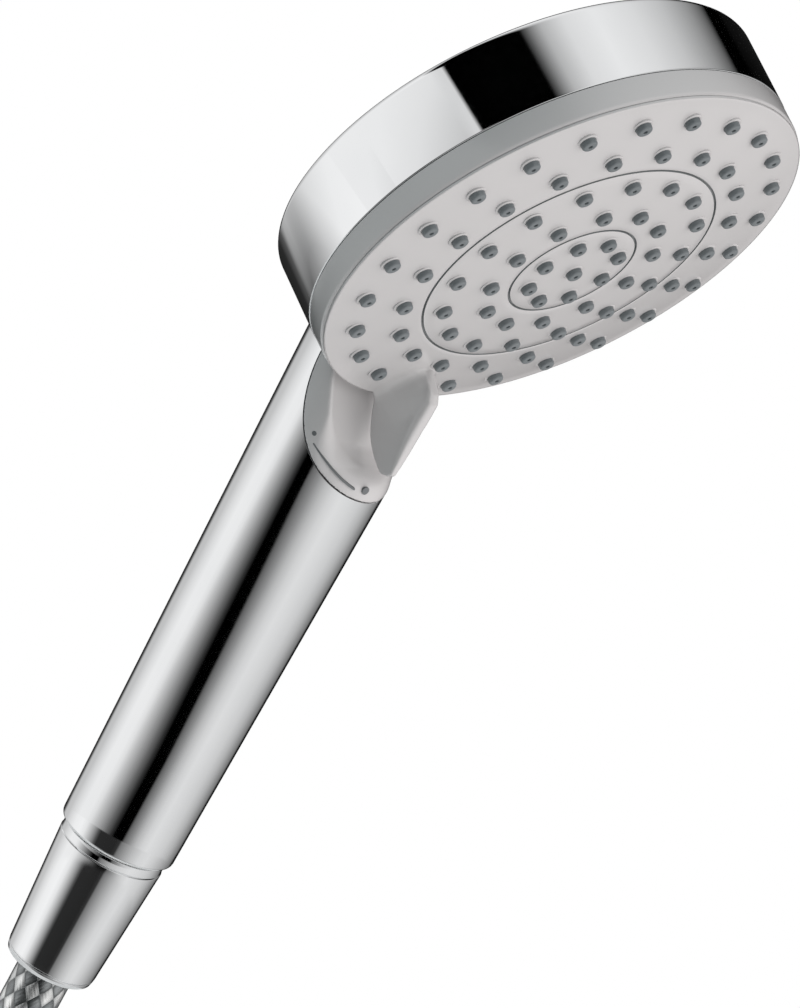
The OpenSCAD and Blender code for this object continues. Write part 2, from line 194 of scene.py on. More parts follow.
def turned(outline, segments=192, place=None):
    """Points and faces of a closed outline of (radius, height) turned about +Z."""
    outline = np.asarray(outline, float)
    points = []
    rings = []
    for radius, height in outline:
        if radius < 1e-6:
            rings.append([len(points)] * segments)
            points.append((0.0, 0.0, height))
            continue
        first = len(points)
        for j in range(segments):
            a = math.tau * j / segments
            points.append((radius * math.cos(a), radius * math.sin(a), height))
        rings.append(list(range(first, first + segments)))
    faces = []
    for i, ring in enumerate(rings):
        above = rings[(i + 1) % len(rings)]
        if ring[0] == ring[1] and above[0] == above[1]:
            continue
        for j in range(segments):
            k = (j + 1) % segments
            corners = [ring[j], ring[k], above[k], above[j]]
            faces.append(list(dict.fromkeys(corners)))
    points = np.array(points)
    if place is not None:
        points = place(points)
    return points, faces


def lathe(name, outline, segments=192, place=None):
    """A closed solid turned from an outline; its faces point outwards."""
    obj = mesh_object(name, *turned(outline, segments, place))
    outwards(obj)
    return obj


def outwards(obj):
    """Turns the faces outwards if the solid's volume comes out negative."""
    mesh = obj.data
    points = np.empty(len(mesh.vertices) * 3)
    mesh.vertices.foreach_get("co", points)
    points = points.reshape(-1, 3)
    mesh.calc_loop_triangles()
    triangles = np.empty(len(mesh.loop_triangles) * 3, int)
    mesh.loop_triangles.foreach_get("vertices", triangles)
    a, b, c = (points[triangles.reshape(-1, 3)[:, i]] for i in range(3))
    if np.einsum("ij,ij->i", a, np.cross(b, c)).sum() < 0:
        mesh.flip_normals()


def drop(obj):
    """Deletes a helper object and its mesh."""
    mesh = obj.data
    bpy.data.objects.remove(obj)
    bpy.data.meshes.remove(mesh)


def combine(obj, operation, other):
    """Boolean of two closed solids; the other one is used up."""
    modifier = obj.modifiers.new("combine", "BOOLEAN")
    modifier.operation = operation
    modifier.solver = "MANIFOLD"
    modifier.object = other
    graph = bpy.context.evaluated_depsgraph_get()
    mesh = bpy.data.meshes.new_from_object(obj.evaluated_get(graph))
    obj.modifiers.clear()
    if len(mesh.polygons) == 0:
        raise RuntimeError(f"{obj.name}: {operation} with {other.name} gave nothing")
    old = obj.data
    obj.data = mesh
    bpy.data.meshes.remove(old)
    drop(other)
    shade(obj.data)
    return obj


def bar(name, radius, length, centre):
    """A cutter: a closed round bar along X."""
    outline = [(0, -length / 2), (radius, -length / 2), (radius, length / 2), (0, length / 2)]

    def place(points):
        """Turned about Z into turned about X, and moved to the centre."""
        return points[:, [2, 0, 1]] + np.asarray(centre, float)

    return lathe(name, outline, 256, place)


# ---------------------------------------------------------------- shapes from distances

def smooth_max(a, b, blend):
    """The larger of two distances, rounded over where they are within blend of each other."""
    h = np.maximum(blend - np.abs(a - b), 0) / blend
    return np.maximum(a, b) + h * h * blend / 4


def smooth_min(a, b, blend):
    """The smaller of two distances, filleted where they are within blend of each other."""
    return -smooth_max(-a, -b, blend)


def gradient(distance, points, step=0.02):
    """Gradient of a distance by central differences."""
    columns = []
    for axis in range(3):
        shift = np.zeros(3)
        shift[axis] = step
        columns.append((distance(points + shift) - distance(points - shift)) / (2 * step))
    return np.stack(columns, -1)


def solid_from(name, distance, low, high, cell, place=None):
    """A closed mesh of the points where a distance is negative: surface nets, then Newton steps."""
    axes = [np.arange(low[i], high[i] + cell, cell) for i in range(3)]
    grid = np.stack(np.meshgrid(*axes, indexing="ij"), -1)
    values = distance(grid.reshape(-1, 3)).reshape(grid.shape[:3])
    inside = values < 0
    crossings = np.zeros(tuple(n - 1 for n in inside.shape))
    sums = np.zeros(crossings.shape + (3,))
    edges = []
    for axis in range(3):
        upper = [slice(None)] * 3
        lower = [slice(None)] * 3
        upper[axis] = slice(1, None)
        lower[axis] = slice(None, -1)
        crossed = inside[tuple(upper)] != inside[tuple(lower)]
        at = np.argwhere(crossed)
        first = values[tuple(at.T)]
        end = at.copy()
        end[:, axis] += 1
        share = first / (first - values[tuple(end.T)])
        spots = grid[tuple(at.T)].copy()
        spots[:, axis] += share * cell
        edges.append((axis, at, inside[tuple(at.T)]))
        others = [i for i in range(3) if i != axis]
        for da in (0, 1):
            for db in (0, 1):
                cells = at.copy()
                cells[:, others[0]] -= da
                cells[:, others[1]] -= db
                np.add.at(crossings, tuple(cells.T), 1)
                np.add.at(sums, tuple(cells.T), spots)
    used = np.argwhere(crossings > 0)
    number = -np.ones(crossings.shape, int)
    number[tuple(used.T)] = np.arange(len(used))
    points = sums[tuple(used.T)] / crossings[tuple(used.T)][:, None]
    for _ in range(3):
        slope = gradient(distance, points)
        step = distance(points)[:, None] * slope / np.maximum((slope**2).sum(1), 0.05)[:, None]
        points = points - np.clip(step, -cell / 2, cell / 2)
    faces = []
    for axis, at, starts_inside in edges:
        b, c = (axis + 1) % 3, (axis + 2) % 3
        ring = []
        for db, dc in ((0, 0), (1, 0), (1, 1), (0, 1)):
            cells = at.copy()
            cells[:, b] -= db
            cells[:, c] -= dc
            ring.append(number[tuple(cells.T)])
        quads = np.stack(ring, 1)
        quads[~starts_inside] = quads[~starts_inside][:, ::-1]
        faces += quads.tolist()
    if place is not None:
        points = place(points)
    obj = mesh_object(name, points, faces)
    outwards(obj)
    return obj


def dish_distance(points):
    """Signed distance to the turned hollow that dishes the tongue, from head-frame points.

    It is a round bottom that runs out in a cone towards the disc's edge.
    """
    radius = np.hypot(points[:, 0], points[:, 1])
    east = radius - DISH_R
    north = points[:, 2] - DISH_Z
    reach = math.hypot(DISH_R - DISH_FOOT[0], DISH_Z - DISH_FOOT[1])
    slant = math.atan2(DISH_Z - DISH_FOOT[1], DISH_R - DISH_FOOT[0]) - math.asin(DISH_ROUND / reach)
    cone = east * math.sin(slant) - north * math.cos(slant) - DISH_ROUND
    past_cone = east * math.cos(slant) + north * math.sin(slant)
    round_part = np.hypot(east, north) - DISH_ROUND
    outer = np.where(east > 0, round_part, north - DISH_ROUND)
    return np.where(past_cone < 0, cone, outer)


def fin_back_distance(points):
    """Signed distance to the torus that the fin's back edge follows, from head-frame points."""
    radius = np.hypot(points[:, 0], points[:, 1])
    return np.hypot(radius - FIN_BACK_R, points[:, 2] - FIN_BACK_Z) - FIN_BACK_ROUND


def handle_distance(points, proud):
    """Distance from the handle's cone, moved outwards by proud, from row-frame points."""
    return np.hypot(points[:, 0], points[:, 1]) - (HANDLE_R + proud + HANDLE_SLOPE * points[:, 2])


# ---------------------------------------------------------------- procedural materials

def new_material(name):
    """A node material and its Principled shader."""
    material = bpy.data.materials.new(name)
    material.use_nodes = True
    return material, material.node_tree.nodes["Principled BSDF"]


def add(material, kind, **sockets):
    """A node of a kind; each name given is one of its inputs or, failing that, a property."""
    node = material.node_tree.nodes.new(kind)
    for key, value in sockets.items():
        if key in node.inputs:
            node.inputs[key].default_value = value
        else:
            setattr(node, key, value)
    return node


def link(material, output, target):
    """Joins an output to an input."""
    material.node_tree.links.new(output, target)


def math_node(material, operation, *values):
    """A Math node on sockets or plain numbers."""
    node = add(material, "ShaderNodeMath", operation=operation)
    for i, value in enumerate(values):
        if isinstance(value, (int, float)):
            node.inputs[i].default_value = value
        else:
            link(material, value, node.inputs[i])
    return node.outputs[0]


def noise(material, scale, detail=2.0, stretch=None):
    """Noise in object space, in steps per metre, stretched along an axis where asked."""
    coordinates = add(material, "ShaderNodeTexCoord")
    source = coordinates.outputs["Object"]
    if stretch is not None:
        mapping = add(material, "ShaderNodeMapping")
        mapping.inputs["Scale"].default_value = stretch
        link(material, source, mapping.inputs["Vector"])
        source = mapping.outputs["Vector"]
    texture = add(material, "ShaderNodeTexNoise", Scale=scale, Detail=detail)
    link(material, source, texture.inputs["Vector"])
    return texture.outputs["Fac"]


def spread(material, value, low, high, from_low=0.3, from_high=0.7):
    """A value between two limits mapped to a range, and kept inside that range."""
    node = add(material, "ShaderNodeMapRange")
    node.inputs["From Min"].default_value = from_low
    node.inputs["From Max"].default_value = from_high
    node.inputs["To Min"].default_value = low
    node.inputs["To Max"].default_value = high
    link(material, value, node.inputs["Value"])
    return node.outputs["Result"]


def tint(material, value, dark, light):
    """A colour between two by a 0 to 1 value."""
    node = add(material, "ShaderNodeMix", data_type="RGBA")
    node.inputs[6].default_value = (*dark, 1)
    node.inputs[7].default_value = (*light, 1)
    link(material, value, node.inputs[0])
    return node.outputs[2]


def bump(material, shader, height, strength, depth):
    """Bump of a height value on a shader, depth in mm."""
    node = add(material, "ShaderNodeBump", Strength=strength, Distance=depth * MM)
    link(material, height, node.inputs["Height"])
    link(material, node.outputs["Normal"], shader.inputs["Normal"])


def metal(name, dark, light, polish, grain=None, relief=0.0):
    """Metal with a slightly uneven polish; grain stretches its fine marks."""
    material, shader = new_material(name)
    shader.inputs["Metallic"].default_value = 1.0
    haze = noise(material, 60.0, 3.0)
    marks = noise(material, 900.0, 4.0, grain)
    link(material, tint(material, haze, dark, light), shader.inputs["Base Color"])
    link(material, spread(material, marks, *polish), shader.inputs["Roughness"])
    if relief:
        bump(material, shader, marks, 0.2, relief)
    return material


def plastic(name, dark, light, roughness, relief=0.02, scale=2500.0, coat=0.0, coat_roughness=0.3):
    """Moulded plastic with a fine spark-eroded grain and faint flow shading."""
    material, shader = new_material(name)
    flow = noise(material, 25.0, 2.0)
    grain = noise(material, scale, 3.0)
    colour = tint(material, spread(material, flow, 0, 1), dark, light)
    link(material, colour, shader.inputs["Base Color"])
    link(material, spread(material, grain, *roughness), shader.inputs["Roughness"])
    shader.inputs["Coat Weight"].default_value = coat
    shader.inputs["Coat Roughness"].default_value = coat_roughness
    if relief:
        bump(material, shader, grain, 0.35, relief)
    return material


CHROME = metal("chrome", (0.80, 0.81, 0.82), (0.86, 0.865, 0.87), (0.02, 0.045))
NUT_CHROME = metal("nut_chrome", (0.80, 0.81, 0.82), (0.86, 0.865, 0.87), (0.02, 0.05))
STEEL = metal(
    "steel", (0.50, 0.50, 0.49), (0.62, 0.62, 0.61), (0.22, 0.38), grain=(1, 1, 12), relief=0.01
)
SPRING_STEEL = metal(
    "spring_steel", (0.42, 0.43, 0.45), (0.55, 0.56, 0.58), (0.2, 0.35), grain=(10, 1, 1), relief=0.01
)
BRASS = metal(
    "brass", (0.62, 0.44, 0.19), (0.76, 0.58, 0.30), (0.2, 0.36), grain=(1, 1, 10), relief=0.01
)
SATIN_GREY = plastic(
    "satin_grey",
    (0.50, 0.492, 0.492),
    (0.52, 0.511, 0.511),
    (0.28, 0.33),
    relief=0.0,
    coat=1.0,
    coat_roughness=0.2,
)
# Painted shade: a darker grey for the grooves' floors, standing in for the shade in the narrow grooves
GROOVE_PAINTED_SHADE = plastic("groove_painted_shade", (0.20, 0.215, 0.218), (0.25, 0.265, 0.268), (0.5, 0.65))
MARK_GREY = plastic("mark_grey", (0.10, 0.11, 0.115), (0.14, 0.15, 0.155), (0.4, 0.55))
BLACK_PLASTIC = plastic("black_plastic", (0.018, 0.018, 0.019), (0.035, 0.035, 0.036), (0.35, 0.5))
WHITE_PLASTIC = plastic("white_plastic", (0.68, 0.67, 0.64), (0.76, 0.75, 0.72), (0.3, 0.45))
GREEN_PLASTIC = plastic("green_plastic", (0.03, 0.22, 0.10), (0.05, 0.30, 0.14), (0.3, 0.45))
SEAL_RUBBER = plastic(
    "seal_rubber", (0.012, 0.012, 0.012), (0.03, 0.03, 0.03), (0.55, 0.75), relief=0.03, scale=1800.0
)
TIE_BAND = plastic(
    "tie_band", (0.05, 0.05, 0.052), (0.09, 0.09, 0.092), (0.5, 0.7), relief=0.05, scale=1400.0
)
SILICONE = plastic(
    "silicone", (0.12, 0.138, 0.146), (0.16, 0.178, 0.187), (0.32, 0.48), scale=1500.0, coat=0.15
)


# Strips of the braid round the hose in each direction
BRAID_STRIPS = 11.0
# Threads laid side by side in a strip
THREADS_PER_STRIP = 4.0
# Length of hose over which a strip goes once round it
BRAID_LENGTH = HOSE_D * math.pi * 1.5


def braid_material():
    """Silvery two-way braid under a clear sheath, drawn along the hose's own UV map."""
    material, shader = new_material("hose_braid")
    place = add(material, "ShaderNodeUVMap", uv_map="along_around")
    split = add(material, "ShaderNodeSeparateXYZ")
    link(material, place.outputs["UV"], split.inputs["Vector"])
    along, round_hose = split.outputs["X"], split.outputs["Y"]

    def strips(direction):
        """Swing of one set of strips, a sign change per strip, and the threads across a strip."""
        phase = math_node(material, "MULTIPLY_ADD", along, direction, round_hose)
        phase = math_node(material, "MULTIPLY", phase, BRAID_STRIPS)
        swing = math_node(material, "SINE", math_node(material, "MULTIPLY", phase, math.pi))
        thread = math_node(material, "FRACT", math_node(material, "MULTIPLY", phase, THREADS_PER_STRIP))
        return swing, math_node(material, "ABSOLUTE", math_node(material, "SUBTRACT", thread, 0.5))

    first, first_ridge = strips(1.0)
    second, second_ridge = strips(-1.0)
    weave = math_node(material, "MULTIPLY", first, second)
    on_top = spread(material, weave, 0, 1, -0.04, 0.04)
    pillow = math_node(material, "POWER", math_node(material, "ABSOLUTE", weave), 0.5)
    ridge = add(material, "ShaderNodeMix", data_type="FLOAT")
    link(material, on_top, ridge.inputs[0])
    link(material, second_ridge, ridge.inputs[2])
    link(material, first_ridge, ridge.inputs[3])
    relief = math_node(material, "MULTIPLY_ADD", ridge.outputs[0], 0.25, pillow)
    patches = noise(material, 260.0, 1.0)
    # Painted shade: each strip gets darker towards the edges of its crossing, where it dips under the
    # other; the patches are random tone
    uneven = math_node(material, "MULTIPLY", pillow, spread(material, patches, 0.35, 1.0))
    body = spread(material, uneven, 0, 1, 0.1, 0.75)
    # Painted light and shade: strips of the first set on top are painted a light silver and those of the
    # second a dark silver, lit and shaded copies of one metal
    colour = add(material, "ShaderNodeMix", data_type="RGBA")
    link(material, on_top, colour.inputs[0])
    link(material, tint(material, body, (0.05, 0.056, 0.058), (0.30, 0.315, 0.32)), colour.inputs[6])
    link(material, tint(material, body, (0.42, 0.43, 0.43), (0.95, 0.95, 0.94)), colour.inputs[7])
    link(material, colour.outputs[2], shader.inputs["Base Color"])
    shader.inputs["Metallic"].default_value = 0.85
    haze = noise(material, 700.0, 2.0)
    link(material, spread(material, haze, 0.2, 0.34), shader.inputs["Roughness"])
    shader.inputs["Coat Weight"].default_value = 0.8
    shader.inputs["Coat Roughness"].default_value = 0.05
    bump(material, shader, relief, 0.7, 0.3)
    return material


HOSE_BRAID = braid_material()

MATERIAL_OF_SLOT = {
    "chrome": CHROME,
    "nut_chrome": NUT_CHROME,
    "satin_grey": SATIN_GREY,
    "mark_grey": MARK_GREY,
    "silicone": SILICONE,
    "black_plastic": BLACK_PLASTIC,
    "white_plastic": WHITE_PLASTIC,
    "green_plastic": GREEN_PLASTIC,
    "steel": STEEL,
    "spring_steel": SPRING_STEEL,
    "brass": BRASS,
    "seal_rubber": SEAL_RUBBER,
    "tie_band": TIE_BAND,
    "hose_braid": HOSE_BRAID,
}


# ---------------------------------------------------------------- camera

# Place in metres; the azimuth is 0 straight in front of the face
CAMERA_AT = Vector((-0.701246, -0.507236, 0.337375))
CAMERA_AZIMUTH = math.radians(-55.314)
CAMERA_ELEVATION = math.radians(15.8775)
CAMERA_ROLL = math.radians(28.7217)
CAMERA_LENS = 160.86


def add_camera():
    """Long lens from the side and slightly above, rolled as a product picture is."""
    flat = math.cos(CAMERA_ELEVATION)
    back = Vector(
        (
            math.sin(CAMERA_AZIMUTH) * flat,
            -math.cos(CAMERA_AZIMUTH) * flat,
            math.sin(CAMERA_ELEVATION),
        )
    )
    level = Vector((math.cos(CAMERA_AZIMUTH), math.sin(CAMERA_AZIMUTH), 0))
    upright = back.cross(level)
    right = level * math.cos(CAMERA_ROLL) + upright * math.sin(CAMERA_ROLL)
    up = back.cross(right)
    data = bpy.data.cameras.new("camera")
    data.lens = CAMERA_LENS
    data.sensor_width = 36
    data.clip_start = 0.05
    data.clip_end = 20
    camera = bpy.data.objects.new("camera", data)
    turn = Matrix((right, up, back)).transposed()
    camera.matrix_world = Matrix.Translation(CAMERA_AT) @ turn.to_4x4()
    bpy.context.collection.objects.link(camera)
    bpy.context.scene.camera = camera


add_camera()


# ---------------------------------------------------------------- hose

# Points of the hose's route in mm: straight down to the coil, round it and out to the wall nut
RUN_POINTS = (
    (0, 0, -16), (0, 0, -40), (0, 0, -64), (0, 0, -88), (0, 0, -112), (0, 0, -134),
    (0, 0, -153), (2, 0, -168.5), (8, 0, -183), (17.5, 0, -195.5), (30, 0, -205),
    (44.5, 0, -211), (60, 0, -213),
)
COIL_TURNS = 3.5
COIL_PITCH = 12.5
COIL_TOP = -213.0
COIL_LOW = COIL_TOP - COIL_TURNS * COIL_PITCH
COIL_X = 60.0
COIL_R = 59.5
TAIL_Y = 2 * COIL_R
TAIL_POINTS = (
    (60, TAIL_Y, COIL_LOW), (50, TAIL_Y, -256.5), (40, TAIL_Y, -255.5), (31, TAIL_Y, -253),
    (23, TAIL_Y, -251), (15, TAIL_Y, -250.5), (8, TAIL_Y, -250.5), (0, TAIL_Y, -250.5),
)


def mix(a, b, start, end, t):
    """The point between a and b at t, where a stands at start and b at end."""
    return (a * (end - t) + b * (t - start)) / (end - start)


def flowing(points, steps=6):
    """A smooth line through points, by centripetal Catmull-Rom pieces."""
    points = np.asarray(points, float)
    padded = np.vstack([2 * points[0] - points[1], points, 2 * points[-1] - points[-2]])
    gaps = np.sqrt(np.linalg.norm(np.diff(padded, axis=0), axis=1))
    knots = np.concatenate([[0], np.cumsum(gaps)])
    line = []
    for i in range(len(points) - 1):
        p, k = padded[i : i + 4], knots[i : i + 4]
        for t in np.linspace(k[1], k[2], steps, endpoint=False):
            near = [mix(p[j], p[j + 1], k[j], k[j + 1], t) for j in range(3)]
            far = [mix(near[j], near[j + 1], k[j], k[j + 2], t) for j in range(2)]
            line.append(mix(far[0], far[1], k[1], k[2], t))
    line.append(points[-1])
    return np.array(line)


def coil_points(per_turn=24):
    """Points along the coil's turns, between the run and the tail."""
    points = []
    for i in range(1, int(COIL_TURNS * per_turn)):
        turn = i / per_turn
        a = math.tau * turn - math.pi / 2
        x = COIL_X + COIL_R * math.cos(a)
        y = COIL_R + COIL_R * math.sin(a)
        points.append((x, y, COIL_TOP - COIL_PITCH * turn))
    return tuple(points)


def swept_tube(name, line, radius, sides=40):
    """A closed tube along a line, with a UV map that runs along it and round it."""
    along = np.gradient(line, axis=0)
    along /= np.linalg.norm(along, axis=1)[:, None]
    across = np.cross(along[0], [0.0, 1.0, 0.0])
    across /= np.linalg.norm(across)
    travelled = np.concatenate([[0], np.cumsum(np.linalg.norm(np.diff(line, axis=0), axis=1))])
    points, faces = [], []
    angles = math.tau * np.arange(sides) / sides
    for here, direction in zip(line, along):
        across = across - direction * (across @ direction)
        across /= np.linalg.norm(across)
        beside = np.cross(direction, across)
        points.append(
            here + radius * (np.cos(angles)[:, None] * across + np.sin(angles)[:, None] * beside)
        )
    for i in range(len(line) - 1):
        for j in range(sides):
            k = (j + 1) % sides
            low, high = i * sides, (i + 1) * sides
            faces.append([low + j, low + k, high + k, high + j])
    faces.append(list(range(sides))[::-1])
    last = (len(line) - 1) * sides
    faces.append(list(range(last, last + sides)))
    obj = mesh_object(name, np.concatenate(points), faces, 50)
    uv = obj.data.uv_layers.new(name="along_around")
    for face, polygon in enumerate(obj.data.polygons[:-2]):
        row, column = divmod(face, sides)
        spots = ((row, column), (row, column + 1), (row + 1, column + 1), (row + 1, column))
        for loop, (step, side) in zip(polygon.loop_indices, spots):
            uv.data[loop].uv = (travelled[step] / BRAID_LENGTH, side / sides)
    return obj


hose_line = flowing(RUN_POINTS + coil_points() + TAIL_POINTS)
hose = swept_tube("hose", hose_line, HOSE_D / 2)
finish_piece(hose, "handpiece", "hose_braid", HOSE_BRAID, "hose_run", "hose_coil", "hose_tail")


# ---------------------------------------------------------------- chrome body

# The drum's back: how far its middle stands out, its radius, and the rounding of its edge
BACK_CROWN = 1.9
BACK_DOME_R = 600.0
BACK_EDGE = 1.5
# Rounding of the handle's lower edge
HANDLE_EDGE = 0.8
# Height of the drum's front end
MOUTH = RING_LOW - 0.1


def cup():
    """The head's drum: round back edge, shallow back dome, hollow towards the face."""
    outside = rounded(
        [
            (CUP_IN_R, MOUTH, 0.15),
            (HEAD_R, MOUTH, 0.25),
            (HEAD_R, CUP_BACK, BACK_EDGE),
            (HEAD_R - 4, CUP_BACK + 0.1, 0),
        ],
        8,
    )[:-1]
    back = [
        (r, CUP_BACK - BACK_CROWN + BACK_DOME_R - math.sqrt(BACK_DOME_R**2 - r * r))
        for r in np.linspace(HEAD_R - BACK_EDGE, 0, 14)[1:]
    ]
    inside = [(0, CUP_FLOOR), (CUP_IN_R, CUP_FLOOR)]
    return lathe("cup", list(outside) + back + inside, 360, to_row)


def handle():
    """The handle's cone with its round lower edge and closer rings towards the drum."""
    top = HANDLE_TOP + 2
    outline = [(0, 0)]
    for t in np.linspace(0, math.pi / 2, 6):
        outline.append((HANDLE_R - HANDLE_EDGE * (1 - math.sin(t)), HANDLE_EDGE * (1 - math.cos(t))))
    for height in [*np.linspace(HANDLE_EDGE + 0.1, 98, 25), *np.linspace(98.7, top, 63)]:
        outline.append((HANDLE_R + HANDLE_SLOPE * height, height))
    return lathe("handle", outline + [(0, top)], 240)


def build_housing():
    """Drum and handle in one, hollow, with the opening for the tongue.

    Each cutter runs on past the surfaces that it opens.
    """
    body = handle()
    room = lathe("room", [(0, -80), (HEAD_R - 1, -80), (HEAD_R - 1, 40), (0, 40)], 180, to_row)
    combine(body, "DIFFERENCE", room)
    combine(body, "UNION", cup())
    bore_low = HANDLE_R - HANDLE_WALL - HANDLE_SLOPE
    bore_high = HANDLE_R - HANDLE_WALL + HANDLE_SLOPE * HANDLE_TOP
    bore = [(0, -1), (bore_low, -1), (bore_high, HANDLE_TOP), (0, HANDLE_TOP)]
    combine(body, "DIFFERENCE", lathe("bore", bore, 180))
    mouth = [(0, MOUTH), (HEAD_R + 1, MOUTH), (HEAD_R + 1, 60), (0, 60)]
    combine(body, "DIFFERENCE", lathe("mouth", mouth, 360, to_row))
    opening = bar("opening", TONGUE_R + 0.1, 60, (0, TONGUE_Y, TONGUE_Z))
    drum = [(0, -40), (HEAD_R, -40), (HEAD_R, MOUTH), (0, MOUTH)]
    combine(opening, "DIFFERENCE", lathe("drum", drum, 360, to_row))
    combine(body, "DIFFERENCE", opening)
    body.name = "chrome_body"
    return finish_piece(body, "handpiece", "chrome", CHROME, "housing")


build_housing()


# ---------------------------------------------------------------- satin ring and tongue

# Rounding of the dish's edge, and how it softens towards the dish's outer end
DISH_EDGE = 0.8
DISH_EDGE_SOFT = 5.0
DISH_SOFT_FROM = 0.0
DISH_SOFT_OVER = 8.0
# Rounding of the tongue's outline, its wall under the dish, and the rounding of its hollow
TONGUE_EDGE = 0.45
TONGUE_WALL = 2.0
HOLLOW_EDGE = 0.4


def tongue_distance(points):
    """Signed distance to the tongue, from row-frame points."""
    local = to_head(points)
    radius = np.hypot(local[:, 0], local[:, 1])
    skin = handle_distance(points, TONGUE_PROUD)
    outline = np.hypot(points[:, 1] - TONGUE_Y, points[:, 2] - TONGUE_Z) - (TONGUE_R - TONGUE_GAP)
    dish = dish_distance(local)
    body = smooth_max(skin, outline, TONGUE_EDGE)
    soft = np.clip((local[:, 2] - DISH_SOFT_FROM) / DISH_SOFT_OVER, 0, 1)
    body = smooth_max(body, -dish, DISH_EDGE + DISH_EDGE_SOFT * soft)
    hollow = np.maximum(handle_distance(points, -HANDLE_WALL), TONGUE_WALL - dish)
    body = smooth_max(body, -hollow, HOLLOW_EDGE)
    body = np.maximum(body, RING_IN_R - radius)
    drum = np.maximum(radius - (HEAD_R + 0.15), local[:, 2] - RING_LOW)
    return np.maximum(body, -drum)


def build_ring():
    """The band round the head in one piece with the dished tongue."""
    band = rounded(
        [
            (RING_IN_R, RING_LOW, 0.1),
            (RING_R, RING_LOW, 0.15),
            (RING_R, RING_TOP, 0.9),
            (RING_IN_R, RING_TOP, 0.1),
        ],
        4,
    )
    ring = lathe("front_band", band, 360, to_row)
    tongue = solid_from("tongue", tongue_distance, (-17, -18, 86), (17, 16, 124), 0.36)
    combine(ring, "UNION", tongue)
    ring.name = "ring_and_tongue"
    return finish_piece(ring, "handpiece", "satin_grey", SATIN_GREY, "front_ring")


build_ring()


# ---------------------------------------------------------------- spray face

# Height of the fin's ridge over the groove plane, at distances from the face's centre
FIN_RIDGE = (
    (37, -1.0), (38.2, 1.0), (39.2, 4.2), (40.6, 6.0), (42.6, 6.9), (46, 8.3), (50, 10.0),
    (52.3, 11.0), (55.9, 12.5), (56.9, 12.0), (57.8, 11.0), (58.5, 9.4), (59, 7.0),
)
# Half widths of the fin's foot, waist and ridge, at distances from the face's centre
FIN_FOOT = ((36, 1.2), (38.2, 1.9), (41, 3.1), (46, 3.7), (50, 3.2), (54, 2.2), (57, 1.4), (60, 1.0))
FIN_WAIST = ((36, 1.0), (40, 1.2), (45, 1.2), (50, 1.1), (54, 0.9), (57, 0.7), (60, 0.6))
FIN_CREST = ((36, 1.2), (40, 2.0), (45, 2.1), (50, 1.6), (54, 1.0), (57, 0.7), (60, 0.6))
# Where the patch of face round the fin starts, where the fin starts and where it ends
FIN_PATCH = 37.35
FIN_START = 38.0
FIN_END = 58.5
# Rounding along the fin's ridge, at distances from the face's centre
FIN_RIDGE_ROUND = ((46, 1.8), (54, 0.5))
# Roundings of the fin's start, of its outer end and of the edge between end and flank, and the
# largest fillet of its foot
FIN_START_ROUND = 1.0
FIN_END_ROUND = 2.5
FIN_EDGE_ROUND = 0.5
FIN_FILLET = 2.2
# How quickly the flank leaves the foot's width, and how late it takes the ridge's
FIN_FOOT_CURVE = 2.2
FIN_CREST_CURVE = 2.5
# Half the width of the patch of face round the fin
FIN_PATCH_HALF = 7.2


def fin_distance(points):
    """Signed distance to the selector fin with its fillet into the face, from head-frame points."""
    across = np.abs(points[:, 0])
    along = -points[:, 1]
    height = points[:, 2]
    radius = np.hypot(points[:, 0], points[:, 1])
    ridge = np.interp(along, *zip(*FIN_RIDGE))
    foot = np.interp(along, *zip(*FIN_FOOT))
    ground = dome_at(np.minimum(radius, 60))
    lift = np.clip((height - ground) / np.maximum(ridge - ground, 1.0), 0, 1)
    waist = np.interp(along, *zip(*FIN_WAIST))
    crest = np.interp(along, *zip(*FIN_CREST))
    low_part = (foot - waist) * (1 - lift) ** FIN_FOOT_CURVE
    flank = across - (waist + low_part + (crest - waist) * lift**FIN_CREST_CURVE)
    ridge_round = np.interp(along, *zip(*FIN_RIDGE_ROUND))
    blade = smooth_max(flank * 0.95, (height - ridge) * 0.9, ridge_round)
    blade = smooth_max(blade, FIN_START - along, FIN_START_ROUND)
    ends = smooth_max(along - FIN_END, fin_back_distance(points), FIN_END_ROUND)
    blade = smooth_max(blade, ends, FIN_EDGE_ROUND)
    disc = np.maximum(height - (ground - 0.03), radius - (LIP_R - 0.5))
    fillet = np.clip((along - FIN_PATCH) * 1.2, 0.05, FIN_FILLET)
    whole = smooth_min(blade, disc, fillet)
    floor = np.where(radius < LIP_R - 0.25, ground - 1.0, LIP_LOW + 0.02)
    patch = np.maximum(across - FIN_PATCH_HALF, FIN_PATCH - along)
    return np.maximum(np.maximum(whole, floor - height), patch)


# A groove's section: distances from its middle, and depths in parts of GROOVE_DEPTH
GROOVE_SECTION = ((-0.34, 0), (-0.25, 0.1), (-0.21, 1.5), (0.21, 1.5), (0.25, 0.1), (0.34, 0))
# Collar round each nozzle: its radius and its height above the face
COLLAR_R = 2.1
COLLAR_OUT = 0.14


